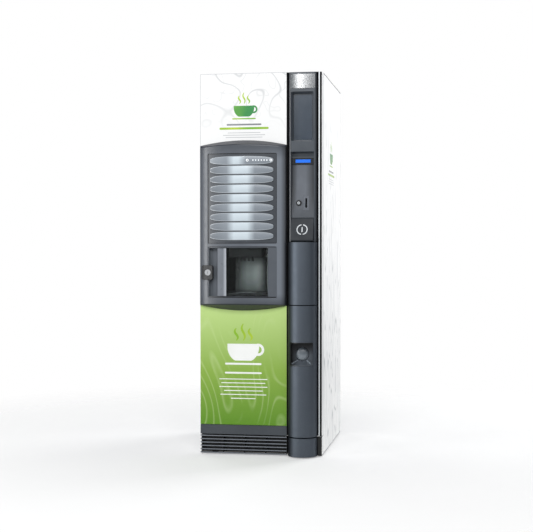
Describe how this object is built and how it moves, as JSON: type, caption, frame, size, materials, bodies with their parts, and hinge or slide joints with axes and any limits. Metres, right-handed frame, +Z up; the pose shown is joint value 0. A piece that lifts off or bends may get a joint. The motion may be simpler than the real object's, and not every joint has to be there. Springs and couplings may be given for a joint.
{
  "type": "hot drinks vending machine",
  "caption": "Free-standing hot coffee vending machine with hinged front door, lens-shaped selection keys, cup compartment and half-round payment column.",
  "frame": {"origin": "on the floor, under the middle of the overall box", "axes": "+Z up, the front faces -Y, +X to the right of someone facing the front"},
  "size_m": [0.59, 0.797, 1.83],
  "materials": {
    "white_paint": "satin",
    "grey_moulding": "satin moulded",
    "dark_moulding": "fine texture",
    "black_plastic": "matte",
    "key_plastic": "satin translucent",
    "key_white": "gloss",
    "green_print": "printed film, satin",
    "smoked_clear": "smoked clear plastic",
    "window_grey": "gloss",
    "display_blue": "lit display",
    "bright_steel": "brushed",
    "trim_aluminium": "anodised",
    "zinc_steel": "zinc plated",
    "canister_plastic": "moulded",
    "hopper_plastic": "smoked moulded"
  },
  "bodies": {
    "cabinet": {"side_panel_left": "white_paint", "side_panel_right": "white_paint", "top_panel": "white_paint", "rear_panel": "white_paint", "base_frame": "black_plastic", "kick_panel": "dark_moulding", "hinge_bottom": "zinc_steel", "hinge_top": "zinc_steel", "equipment_rack": "zinc_steel", "canister_1": "canister_plastic", "canister_2": "canister_plastic", "canister_3": "canister_plastic", "bean_hopper": "hopper_plastic", "coffee_grinder": "black_plastic", "brew_unit": "dark_moulding", "boiler": "bright_steel", "waste_bucket": "dark_moulding", "control_box": "zinc_steel"},
    "door": {"door_frame": "white_paint", "upper_panel": "white_paint", "lower_panel": "green_print", "base_band": "grey_moulding", "fascia": "grey_moulding", "key_panel": "grey_moulding", "sugar_display": "key_plastic", "compartment_surround": "dark_moulding", "cup_niche": "dark_moulding", "drip_tray": "black_plastic", "drip_grille": "dark_moulding", "spout_block": "black_plastic", "lock_housing": "black_plastic", "column_carrier": "black_plastic", "trim_strip": "trim_aluminium", "column_head": "grey_moulding", "window_panel": "window_grey", "bright_plate": "bright_steel", "payment_panel": "grey_moulding", "display_glass": "display_blue", "coin_plate": "dark_moulding", "column_middle": "grey_moulding", "column_lower": "grey_moulding", "coin_return_cup": "dark_moulding", "coin_mechanism": "black_plastic", "coin_entry": "grey_moulding"},
    "cup_door_leaf": {"cup_door": "smoked_clear", "cup_door_grip": "grey_moulding"},
    "lock": {"lock_cylinder": "bright_steel"},
    "coin_button": {"coin_return_button": "black_plastic"},
    "coin_flap": {"coin_return_flap": "grey_moulding"},
    "sugar_minus": {"sugar_minus_key": "key_white"},
    "sugar_plus": {"sugar_plus_key": "key_white"},
    "turret": {"cup_turret": "canister_plastic"},
    "key_1": {"selection_key_1": "key_plastic"},
    "key_2": {"selection_key_2": "key_plastic"},
    "key_3": {"selection_key_3": "key_plastic"},
    "key_4": {"selection_key_4": "key_plastic"},
    "key_5": {"selection_key_5": "key_plastic"},
    "key_6": {"selection_key_6": "key_plastic"},
    "key_7": {"selection_key_7": "key_plastic"},
    "key_8": {"selection_key_8": "key_plastic"}
  },
  "joints": [
    {"name": "main_door", "type": "hinge", "parent": "cabinet", "child": "door", "pos_m": [0.289, -0.2775, 0.9615], "axis": [0, 0, 1], "range_deg": [0, 105]},
    {"name": "cup_door_hinge", "type": "hinge", "parent": "door", "child": "cup_door_leaf", "pos_m": [0.0365, -0.36409, 0.875], "axis": [0, 0, 1], "range_deg": [0, 95]},
    {"name": "lock_turn", "type": "hinge", "parent": "door", "child": "lock", "pos_m": [-0.2515, -0.33, 0.874], "axis": [0, -1, 0], "range_deg": [0, 90]},
    {"name": "coin_button_press", "type": "slide", "parent": "door", "child": "coin_button", "axis": [0, 1, 0], "range_m": [0, 0.0035], "stiffness_N_per_m": 200, "springref_m": -0.004},
    {"name": "coin_flap_push", "type": "hinge", "parent": "door", "child": "coin_flap", "pos_m": [0.203, -0.3435, 0.521], "axis": [1, 0, 0], "range_deg": [0, 25], "stiffness_Nm_per_rad": 0.03, "springref_deg": -28.65},
    {"name": "sugar_minus_press", "type": "slide", "parent": "door", "child": "sugar_minus", "axis": [0, 1, 0], "range_m": [0, 0.0015], "stiffness_N_per_m": 200, "springref_m": -0.002},
    {"name": "sugar_plus_press", "type": "slide", "parent": "door", "child": "sugar_plus", "axis": [0, 1, 0], "range_m": [0, 0.0015], "stiffness_N_per_m": 200, "springref_m": -0.002},
    {"name": "turret_turn", "type": "hinge", "parent": "cabinet", "child": "turret", "pos_m": [-0.165, -0.01, 1.346], "axis": [0, 0, 1], "continuous": true},
    {"name": "key_1_press", "type": "slide", "parent": "door", "child": "key_1", "axis": [0, 1, 0], "range_m": [0, 0.0025], "stiffness_N_per_m": 300, "springref_m": -0.003},
    {"name": "key_2_press", "type": "slide", "parent": "door", "child": "key_2", "axis": [0, 1, 0], "range_m": [0, 0.0025], "stiffness_N_per_m": 300, "springref_m": -0.003},
    {"name": "key_3_press", "type": "slide", "parent": "door", "child": "key_3", "axis": [0, 1, 0], "range_m": [0, 0.0025], "stiffness_N_per_m": 300, "springref_m": -0.003},
    {"name": "key_4_press", "type": "slide", "parent": "door", "child": "key_4", "axis": [0, 1, 0], "range_m": [0, 0.0025], "stiffness_N_per_m": 300, "springref_m": -0.003},
    {"name": "key_5_press", "type": "slide", "parent": "door", "child": "key_5", "axis": [0, 1, 0], "range_m": [0, 0.0025], "stiffness_N_per_m": 300, "springref_m": -0.003},
    {"name": "key_6_press", "type": "slide", "parent": "door", "child": "key_6", "axis": [0, 1, 0], "range_m": [0, 0.0025], "stiffness_N_per_m": 300, "springref_m": -0.003},
    {"name": "key_7_press", "type": "slide", "parent": "door", "child": "key_7", "axis": [0, 1, 0], "range_m": [0, 0.0025], "stiffness_N_per_m": 300, "springref_m": -0.003},
    {"name": "key_8_press", "type": "slide", "parent": "door", "child": "key_8", "axis": [0, 1, 0], "range_m": [0, 0.0025], "stiffness_N_per_m": 300, "springref_m": -0.003}
  ]
}
